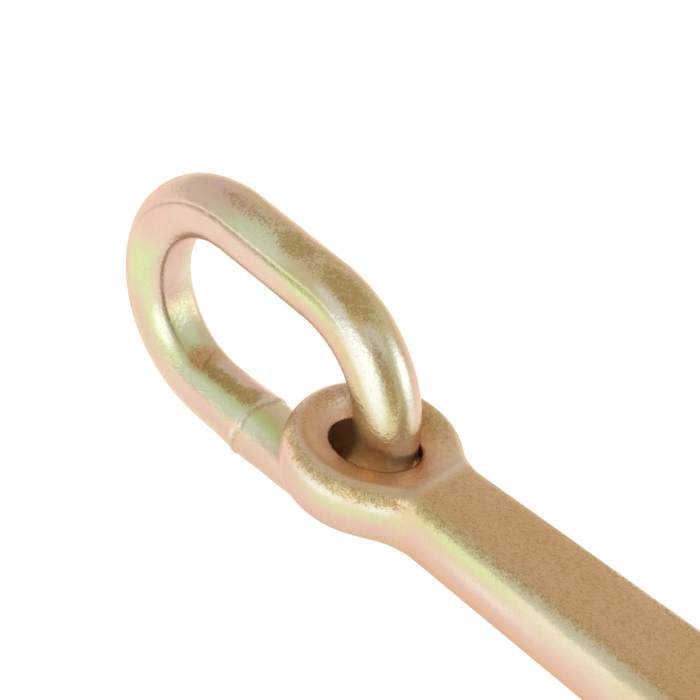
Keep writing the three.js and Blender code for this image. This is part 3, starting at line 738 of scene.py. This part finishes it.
def eye_tone(points):
    """Tint weights of the forging; many are painted light: highlights, shade and reflection bands.
    """
    x, y, z = (points[:, i] / BAR for i in range(3))
    out = np.hypot(x, y)
    high = z / 0.5
    near = (SHALLOW_SIDE[0] * x + SHALLOW_SIDE[1] * y) / np.maximum(out, 0.1)
    left = (SHALLOW_SIDE[1] * x - SHALLOW_SIDE[0] * y) / np.maximum(out, 0.1)
    bearing = np.degrees(np.arctan2(left, near))    # degrees from the shallow side
    on_neck = np.clip((x - 1.15) / 0.25, 0, 1)
    top = np.clip((z - 0.28) / 0.12, 0, 1)
    rim = bell(out - 1.02, 0.20) * top * (1 - on_neck)
    flat = np.clip((z - 0.50) / 0.05, 0, 1) * on_neck
    bore = np.clip((0.74 - out) / 0.05, 0, 1)
    funnel = np.clip((1.02 - out) / 0.15, 0, 1) * np.clip((z - 0.12) / 0.1, 0, 1)
    flank = np.clip((out - 1.12) / 0.1, 0, 1) * (1 - on_neck)
    neck_side = np.clip((np.abs(y) - 0.45) / 0.2, 0, 1) * on_neck
    near_rim = np.clip((1.16 - out) / 0.08, 0, 1) * top * (y < 0.1)
    # painted highlights: a glint on the far side of the countersink, and bearings where the flank
    # catches the light
    glint = bell(bearing - 150, 24) * bell(out - 0.86, 0.10) * top
    bright = bell(bearing - 28, 21) + bell(bearing + 12, 11)
    # The flank's tints lie in bands by height, as reflections do round a ring: a painted
    # reflection, brown at the top, then the painted highlight, then green, pink and copper towards
    # the foot; green and pink are also the plating's own tints.
    return {
        "painted_highlight": np.maximum.reduce([
            0.75 * bell(high - 0.46, 0.16) * flank * bright,
            0.85 * glint,
            0.45 * bell(high - 0.05, 0.2) * neck_side * bell(x - 2.9, 0.8)]),
        "green": np.maximum.reduce([
            0.95 * bell(high - 0.12, 0.24) * flank * np.clip(0.25 + near, 0, 1),
            0.90 * bell(high - 0.62, 0.24) * neck_side * bell(x - 2.4, 0.9)]),
        "pink": np.maximum.reduce([
            0.95 * bell(high + 0.40, 0.50) * flank,
            0.95 * bell(high - 0.05, 0.70) * flank * np.clip(1.6 * left - 0.4, 0, 1),
            0.95 * np.maximum(rim, funnel) * np.clip(0.2 + left, 0, 1),
            0.55 * bell(x - 1.12, 0.16) * top,
            0.95 * bell(high + 0.35, 0.55) * neck_side]),
        "copper": np.maximum.reduce([
            # coppery countersink and flat: their own tone with a painted dark reflection; coppery
            # in the hole: its own tone with painted shade
            (0.92 - 0.35 * np.clip(left, 0, 1)) * funnel,
            (0.70 - 0.40 * np.clip(left, 0, 1)) * rim,
            0.80 * flat, 0.55 * bore, 0.85 * near_rim,
            0.45 * bell(high + 0.85, 0.3) * flank,
            0.65 * bell(high + 0.80, 0.4) * neck_side]),
        "brown": np.maximum.reduce([
            # painted shade: the rim browner towards its far side; the flat's brown is its own tone
            # with a painted dark reflection
            0.50 * rim * np.clip(0.5 + 0.6 * y - 0.4 * x, 0, 1),
            0.34 * flat,
            0.74 * bell(high - 0.72, 0.22) * flank,
            # painted shade along the neck flat's edges
            0.60 * bell(np.abs(y) - 0.62, 0.10) * on_neck * (z > 0.3)]),
        # painted shade in the hole and along the neck's start
        "painted_shade": np.maximum.reduce([
            0.18 * bore * np.clip(0.9 - 0.5 * high, 0, 1),
            0.14 * bell(x - 1.13, 0.07) * (z > 0.4) * (np.abs(y) < 0.7)]),
    }


def add_eye_screw(side):
    place = side_frame(side)
    margin = 1.5 * MM
    low = (-EYE_OUTER_R - margin, -EYE_OUTER_R - margin, -THREAD_R - margin)
    high = (SHOULDER_END + 2 * MM + margin, EYE_OUTER_R + margin, THREAD_R + margin)
    points, faces = field_solid(eye_field, low, high, 0.5 * MM)
    vertices = [place @ Vector(p) for p in points]
    body = "screw_" + side
    eye = add_piece("forged_eye_" + side, vertices, faces, body, FORGED_ZINC,
                    ["eye_screw_" + side], tone=eye_tone(np.asarray(points)))
    add_thread(side, place, body)
    return eye


def add_thread(side, place, body):
    """A cut take-up thread: a rod whose radius follows a trapezoid wave that winds round it."""
    hand = SIDES[side]
    around, per_pitch = 48, 12
    rows = int(THREAD_LENGTH / THREAD_PITCH * per_pitch)
    depth = 1.9 * MM
    turn = 2 * np.pi * np.arange(around) / around
    x = np.linspace(0, THREAD_LENGTH, rows + 1)
    phase = (x[:, None] / THREAD_PITCH + hand * turn[None, :] / (2 * np.pi)) % 1.0
    wave = np.clip((np.abs(phase - 0.5) - 0.125) / 0.25, 0, 1)
    fade = np.clip(np.minimum(x / (3 * MM), (THREAD_LENGTH - x) / (3 * MM)), 0, 1)[:, None]
    radius = THREAD_R - 0.05 * MM - depth * wave * fade
    radius[0] = THREAD_R * 0.97
    vertices = []
    for i, along in enumerate(x):
        for j, a in enumerate(turn):
            r = radius[i, j]
            point = (SHOULDER_END + along, r * math.cos(a), r * math.sin(a))
            vertices.append(place @ Vector(point))
    faces = grid_faces(len(x), around, False)
    for end in (0, len(x) - 1):
        centre = len(vertices)
        along = SHOULDER_END + x[end]
        vertices.append(place @ Vector((along, 0, 0)))
        for j in range(around):
            k = (j + 1) % around
            a, b = end * around + j, end * around + k
            faces.append((centre, b, a) if end == 0 else (centre, a, b))
    return add_piece("take_up_thread_" + side, vertices, outward(vertices, faces), body, BODY_ZINC)


# ---------- barrel ----------
TUBE_R = 16 * MM
TUBE_BORE_R = 12.2 * MM
TUBE_HALF = 130 * MM
GEAR_HALF = 7 * MM
GREASE_X = 92 * MM
AXLE = Matrix.Translation(AXIS)
HALF_TURN = Matrix.Rotation(math.pi, 4, "Z")
UPRIGHT = Matrix.Rotation(-math.pi / 2, 4, "Y")


def in_mm(*outline):
    return [(r * MM, x * MM) for r, x in outline]


def weld_bead(name, place, ring_r, bead_r, body, ripples):
    """A fillet weld round local X, laid down in overlapping ripples."""
    around, section = 6 * ripples, 14
    vertices = []
    for i in range(around):
        a = 2 * math.pi * i / around
        for j in range(section):
            b = 2 * math.pi * j / section
            lag = 0.35 * math.cos(b) ** 2
            step = (ripples * a / (2 * math.pi) + lag) % 1.0
            r = bead_r * (0.86 + 0.16 * step + 0.05 * noise.noise(Vector((9 * a, 3.0, b))))
            out = ring_r + r * math.cos(b)
            vertices.append(place @ Vector((r * math.sin(b), out * math.cos(a), out * math.sin(a))))
    faces = outward(vertices, grid_faces(around, section, True))
    return add_piece(name, vertices, faces, body, WELD_ZINC)


def gear_outline(tip=23.0, root=18.2, teeth=12):
    points = []
    for tooth in range(teeth):
        middle = 2 * math.pi * tooth / teeth
        for radius, offset in ((root, -2.8 / root), (tip, -1.5 / tip), (tip, 1.5 / tip),
                               (root, 2.8 / root), (root, math.pi / teeth)):
            angle = middle + offset
            points.append((radius * MM * math.cos(angle), radius * MM * math.sin(angle)))
    return rounded(points, 0.9 * MM, 2)


def add_barrel():
    tube = [(TUBE_BORE_R, -TUBE_HALF), (TUBE_R, -TUBE_HALF),
            (TUBE_R, TUBE_HALF), (TUBE_BORE_R, TUBE_HALF)]
    add_turned("barrel_sleeve", tube, AXLE, "barrel", BODY_ZINC, ["barrel_tube"],
               sides=120, radius=0.9 * MM)
    outlines = [gear_outline(), circle(0, 0, TUBE_R + 0.3 * MM, 64)]
    add_flat("ratchet_wheel", outlines, 2 * GEAR_HALF, 0.6 * MM, AXLE, "barrel", PLATE_ZINC,
             ["ratchet_gear"])
    for side in SIDES:
        add_barrel_end(side, AXLE if side == "left" else AXLE @ HALF_TURN)


def add_barrel_end(side, place):
    """Bushing, weld, wiper seal, retaining ring and grease fitting of the end towards local -X."""
    flange = in_mm((10.3, -136), (17.5, -136), (17.5, -130.3), (11.9, -130.3), (11.9, -114),
                   (10.3, -114))
    add_turned("bushing_" + side, flange, place, "barrel", BODY_ZINC,
               ["end_bushing_" + side], radius=1.1 * MM, sides=96)
    weld_bead("barrel_weld_" + side, place @ Matrix.Translation((-129.6 * MM, 0, 0)), 16.2 * MM,
              1.35 * MM, "barrel", 34)
    lips = in_mm((10.3, -139), (10.9, -139), (11.3, -138), (12.1, -137.9), (12.5, -138.8),
                 (13.1, -138.8), (13.5, -138.2), (13.5, -136.3), (10.3, -136.3))
    add_turned("seal_" + side, lips, place, "barrel", RUBBER, ["wiper_seal_" + side],
               radius=0.25 * MM)
    add_snap_ring("snap_ring_" + side, place, ["retaining_ring_" + side])
    stand = place @ Matrix.Translation((-GREASE_X, 0, 0)) @ UPRIGHT
    stem = in_mm((0, 13.2), (2.2, 13.2), (2.2, 19.0), (1.8, 20.6), (1.8, 21.4), (2.5, 22.2),
                 (2.5, 22.9), (1.7, 23.6), (0.7, 23.6), (0.6, 23.0), (0, 23.0))
    add_turned("grease_nipple_" + side, stem, stand, "barrel", BRASS, ["grease_fitting_" + side],
               sides=32, radius=0.2 * MM)
    hexagon = in_mm((1.9, 16.5), (3.9, 16.5), (4.0, 16.8), (4.0, 18.7), (3.5, 19.1), (1.9, 19.1))
    nut = add_turned("grease_hex_" + side, hexagon, stand, "barrel", BRASS, sides=6,
                     radius=0.15 * MM)
    shade_by_angle(nut, 25)


def add_snap_ring(name, place, nodes):
    """An open spring ring with a lug at each end, split at the top."""
    inner, outer, lug = 16.3 * MM, 18.45 * MM, 0.21
    start, steps = 0.16, 90
    outline = []
    for i in range(steps + 1):
        a = start + (2 * math.pi - 2 * start) * i / steps
        outline.append((outer * math.sin(a), outer * math.cos(a)))
    for i in range(steps, -1, -1):
        a = start + (2 * math.pi - 2 * start) * i / steps
        edge = min(a - start, 2 * math.pi - start - a)
        r = inner + (0.3 * MM if edge > lug else 0.0)
        outline.append((r * math.sin(a), r * math.cos(a)))
    seat = place @ Matrix.Translation((-16 * MM, 0, 0))
    add_flat(name, [outline], 2 * MM, 0.25 * MM, seat, "barrel", STEEL, nodes)


# ---------- ratchet housing ----------
PLATE_R = 24 * MM
PLATE_END_R = 14 * MM
PLATE_THICK = 7 * MM
PLATE_X = 11 * MM                                   # middle of each plate's thickness
PAWL_Y = 41 * MM
BOLT_YS = (78 * MM, 94 * MM)
PIN_R = 4 * MM
SHANK_START, SHANK_END = 61 * MM, 116 * MM
SHANK_HALF_HIGH = 10.5 * MM
HANDLE_PIVOT_Y = SHANK_END + 4 * MM
HANDLE_LENGTH = 250 * MM
HANDLE_R = 12 * MM
GRIP_R = 14.6 * MM
HANDLE_DROP = math.asin((AXIS.z - GRIP_R - 0.1 * MM) / (HANDLE_LENGTH + 1 * MM))
QUARTER = Matrix.Rotation(math.pi / 2, 4, "Z")


def plate_outline():
    """The side plate in local Y and Z: two arcs and their common tangents, cut flat underneath."""
    far = BOLT_YS[1]
    lean = math.acos((PLATE_R - PLATE_END_R) / far)
    points = []
    for i in range(73):
        a = lean + (2 * math.pi - 2 * lean) * i / 72
        points.append((PLATE_R * math.cos(a), max(PLATE_R * math.sin(a), -AXIS.z)))
    for i in range(33):
        a = -lean + 2 * lean * i / 32
        points.append((far + PLATE_END_R * math.cos(a), PLATE_END_R * math.sin(a)))
    return points


def add_plates():
    holes = [circle(0, 0, TUBE_R + 0.4 * MM, 72), circle(PAWL_Y, 0, PIN_R + 0.3 * MM)]
    holes += [circle(y, 0, PIN_R + 0.3 * MM) for y in BOLT_YS]
    for side, x in (("left", -PLATE_X), ("right", PLATE_X)):
        place = AXLE @ Matrix.Translation((x, 0, 0))
        add_flat("housing_plate_" + side, [plate_outline()] + holes, PLATE_THICK, 0.9 * MM, place,
                 "housing", PLATE_ZINC, ["side_plate_" + side], 30)


def add_bolt(name, y, nodes, nut_nodes):
    """A hex bolt through both plates, its washer-faced head towards -X, and its nut."""
    place = AXLE @ Matrix.Translation((0, y, 0))
    head = in_mm((0, -19.8), (6.2, -19.8), (7.4, -19.1), (7.4, -15.3), (6.4, -14.8), (0, -14.8))
    bolt = add_turned(name + "_head", head, place, "housing", STEEL, sides=6, radius=0.3 * MM)
    shade_by_angle(bolt, 25)
    face = in_mm((0, -20.0), (5.2, -20.0), (5.5, -19.8), (5.5, -19.2), (0, -19.2))
    add_turned(name + "_face", face, place, "housing", STEEL, radius=0.15 * MM, sides=48)
    shank = in_mm((0, -19.0), (4.0, -19.0), (4.0, 21.8), (3.4, 22.5), (0, 22.5))
    add_turned(name + "_shank", shank, place, "housing", STEEL, nodes, sides=40)
    nut = in_mm((4.1, 14.8), (6.6, 14.8), (7.4, 15.4), (7.4, 20.5), (6.3, 21.3), (4.1, 21.3))
    made = add_turned(name + "_nut", nut, place, "housing", STEEL, nut_nodes, sides=6,
                      radius=0.3 * MM)
    shade_by_angle(made, 25)


def add_pawl_pin():
    place = AXLE @ Matrix.Translation((0, PAWL_Y, 0))
    pin = in_mm((0, -19.8), (4.6, -19.6), (6.3, -18.2), (6.5, -17.2), (6.5, -14.8), (4.0, -14.8),
                (4.0, 19.9), (3.4, 20.5), (0, 20.5))
    add_turned("rocker_pin", pin, place, "housing", STEEL, ["pawl_pin"], radius=0.6 * MM)
    clip = in_mm((4.3, 14.8), (7.0, 14.8), (7.0, 16.8), (4.3, 16.8))
    add_turned("rocker_pin_clip", clip, place, "housing", STEEL, ["pawl_pin_clip"],
               radius=0.4 * MM)


def add_pawl():
    """The double-nosed pawl, its stem and its thumb tab."""
    nose_r, nose = 24.3 * MM, math.radians(22)
    ny, nz = nose_r * math.cos(nose) - PAWL_Y, nose_r * math.sin(nose)
    outline = [(11 * MM * math.cos(a), 11 * MM * math.sin(a)) for a in np.linspace(-1.9, 1.9, 33)]
    upper = [(2.6, 1.4), (0.3, 0.7), (0.0, -1.2), (4.5, -5.2)]
    outline += [(ny + dy * MM, nz + dz * MM) for dy, dz in upper]
    outline += [(ny + dy * MM, -nz - dz * MM) for dy, dz in reversed(upper)]
    place = AXLE @ Matrix.Translation((0, PAWL_Y, 0))
    pin_hole = circle(0, 0, PIN_R + 0.3 * MM)
    add_flat("rocking_pawl", [outline, pin_hole], 13 * MM, 0.5 * MM, place, "pawl", PLATE_ZINC,
             ["pawl"], 30)

    def stem_field(points):
        x, y, z = points[..., 0], points[..., 1], points[..., 2]
        width = 5 * MM + 1.5 * MM * np.clip((z - 18 * MM) / (6 * MM), 0, 1)
        stem = rounded_box(np.abs(x) - width + 1 * MM, np.abs(y - 1 * MM) - 2 * MM,
                           np.abs(z - 17 * MM) - 8 * MM, 1 * MM)
        along = np.maximum(np.abs(x) - 8 * MM, 0)
        tab = np.sqrt(along ** 2 + (y - 1 * MM) ** 2 + (z - 26 * MM) ** 2) - 3.9 * MM
        tab = np.maximum(tab, np.abs(x) - 10.9 * MM)
        ribs = 0.25 * MM * np.cos(2 * np.pi * x / (2.2 * MM))
        ribs = ribs * np.clip((z - 27 * MM) / (2 * MM), 0, 1)
        return smooth_union(stem, tab + ribs, 2 * MM)

    low, high = (-12 * MM, -4.5 * MM, 7 * MM), (12 * MM, 6.5 * MM, 31 * MM)
    points, faces = field_solid(stem_field, low, high, 0.5 * MM)
    add_piece("pawl_thumb_tab", [place @ Vector(p) for p in points], faces, "pawl", PLATE_ZINC)


def add_handle():
    def shank_field(points):
        x, y, z = points[..., 0], points[..., 1], points[..., 2]
        middle, half = (SHANK_START + SHANK_END) / 2, (SHANK_END - SHANK_START) / 2
        block = rounded_box(np.abs(x) - 5 * MM, np.abs(y - middle) - half + 2 * MM,
                            np.abs(z) - SHANK_HALF_HIGH + 2 * MM, 2 * MM)
        run = y - HANDLE_PIVOT_Y
        across = np.hypot(x, z + run * math.tan(HANDLE_DROP))
        cone = across - (11.7 * MM + 0.35 * np.clip(run, -8 * MM, 0))
        cone = np.maximum(np.maximum(cone, -7 * MM - run), run - 0.2 * MM)
        return smooth_union(block, cone, 3 * MM)

    low = (-13.5 * MM, SHANK_START - 1 * MM, -13.5 * MM)
    high = (13.5 * MM, HANDLE_PIVOT_Y + 2 * MM, 13.5 * MM)
    points, faces = field_solid(shank_field, low, high, 0.75 * MM)
    add_piece("handle_root", [AXLE @ Vector(p) for p in points], faces, "housing", PLATE_ZINC,
              ["handle_shank"])
    along = (AXLE @ Matrix.Translation((0, HANDLE_PIVOT_Y, 0))
             @ Matrix.Rotation(-HANDLE_DROP, 4, "X") @ QUARTER)
    tube = [(9 * MM, 0.3 * MM), (HANDLE_R, 0.3 * MM), (HANDLE_R, HANDLE_LENGTH),
            (9 * MM, HANDLE_LENGTH)]
    add_turned("handle_bar", tube, along, "housing", BODY_ZINC, ["handle_tube"],
               sides=96, radius=0.8 * MM)
    weld_bead("handle_weld", along @ Matrix.Translation((0.2 * MM, 0, 0)), 11.6 * MM, 1.3 * MM,
              "housing", 26)
    add_grip(along)


def add_grip(along):
    """A moulded sleeve with a flange, a field of fine ribs and a domed end."""
    start, end, bore = 125.0, 255.0, 12.3
    outline = [(bore, start), (14.6, start), (15.9, start + 1.2), (16.2, start + 2.4),
               (16.2, start + 5), (15.6, start + 6.6), (14.2, start + 9)]
    x = start + 14
    while x < end - 22:
        outline += [(14.0, x), (14.5, x + 0.9), (14.5, x + 2.6), (14.0, x + 3.5)]
        x += 5.0
    outline += [(14.1, end - 14), (14.6, end - 10), (14.6, end - 4), (13.6, end - 1.6), (11.4, end),
                (6.0, end), (5.4, end - 0.8), (0, end - 0.8), (0, 250.3), (bore, 250.3)]
    add_turned("hand_grip", in_mm(*outline), along, "housing", RUBBER, ["handle_grip"],
               sides=96, radius=0.45 * MM)


def finish_hidden_parts():
    """Inner parts keep their modelled shape and take the plated steel."""
    names = ["detent_plunger", "detent_spring"]
    names += [kind + side for kind in ("stop_collar_", "stop_pin_") for side in SIDES]
    for name in names:
        slots = bpy.data.objects[name].material_slots
        for slot in slots:
            slot.material = STEEL[0]


# ---------- floor and light ----------
FLOOR_Z = -20.5 * MM                                # clears the links at the foot of their swing
FLOOR_HALF = 12.0
FLOOR_GLOW = 0.36


def add_floor():
    mesh = bpy.data.meshes.new("floor")
    corners = [(x * FLOOR_HALF, y * FLOOR_HALF, FLOOR_Z)
               for x, y in ((-1, -1), (1, -1), (1, 1), (-1, 1))]
    mesh.from_pydata(corners, [], [(0, 1, 2, 3)])
    floor = bpy.data.objects.new("floor", mesh)
    floor.data.materials.append(floor_material())
    bpy.context.collection.objects.link(floor)


def add_area(name, place, size, power):
    """A soft panel aimed at the object; it lights the scene without showing up in the metal."""
    data = bpy.data.lights.new(name, "AREA")
    data.shape = "SQUARE"
    data.size = size
    data.energy = power
    lamp = bpy.data.objects.new(name, data)
    lamp.location = place
    lamp.rotation_mode = "QUATERNION"
    lamp.rotation_quaternion = Vector(place).to_track_quat("Z", "Y")
    lamp.visible_glossy = False
    lamp.visible_camera = False
    bpy.context.collection.objects.link(lamp)


def lobe(tree, direction, azimuth, elevation, inner, outer):
    """How near a direction is to one in the sky; angles in degrees, azimuth 0 along +Y."""
    a, e = math.radians(azimuth), math.radians(elevation)
    towards = (math.sin(a) * math.cos(e), math.cos(a) * math.cos(e), math.sin(e))
    made = node(tree, "ShaderNodeVectorMath", {0: direction, 1: towards}, operation="DOT_PRODUCT")
    low, high = (math.cos(math.radians(degrees)) for degrees in (outer, inner))
    return ranged(tree, made.outputs["Value"], low, high)


def make_world():
    """A white tent with two brighter panels, a little darker overhead and at one side."""
    world = bpy.data.worlds.new("tent")
    bpy.context.scene.world = world
    world.use_nodes = True
    tree = world.node_tree
    direction = node(tree, "ShaderNodeTexCoord").outputs["Generated"]
    up = node(tree, "ShaderNodeSeparateXYZ", {"Vector": direction}).outputs["Z"]
    seen = mixed(tree, ranged(tree, up, 0.50, 0.76), (0.80, 0.79, 0.77), (0.71, 0.67, 0.61))
    seen = mixed(tree, lobe(tree, direction, 166, 10, 10, 28), seen, (1.5, 1.5, 1.5))
    seen = mixed(tree, lobe(tree, direction, 50, 16, 9, 24), seen, (1.6, 1.6, 1.6))
    seen = mixed(tree, lobe(tree, direction, 112, 30, 12, 30), seen, (0.60, 0.59, 0.55))
    path = node(tree, "ShaderNodeLightPath")
    seen = mixed(tree, path.outputs["Is Diffuse Ray"], seen, (1.04, 1.04, 1.04))
    seen = mixed(tree, path.outputs["Is Camera Ray"], seen, (0.98, 0.98, 0.98))
    tree.links.new(seen, tree.nodes["Background"].inputs["Color"])


def light_scene():
    make_world()
    add_area("key", (1.0, -2.0, 2.4), 2.2, 34.0)
    add_area("fill", (-0.4, 0.4, 3.2), 5.0, 50.0)
    bpy.context.scene.view_settings.view_transform = "Standard"


# ---------- build ----------
make_camera()
light_scene()
add_floor()
for side in SIDES:
    add_link(side)
    add_eye_screw(side)
add_barrel()
add_plates()
add_bolt("housing_bolt_1", BOLT_YS[0], ["handle_bolt_1"], ["handle_nut_1"])
add_bolt("housing_bolt_2", BOLT_YS[1], ["handle_bolt_2"], ["handle_nut_2"])
add_pawl_pin()
add_pawl()
add_handle()
finish_hidden_parts()
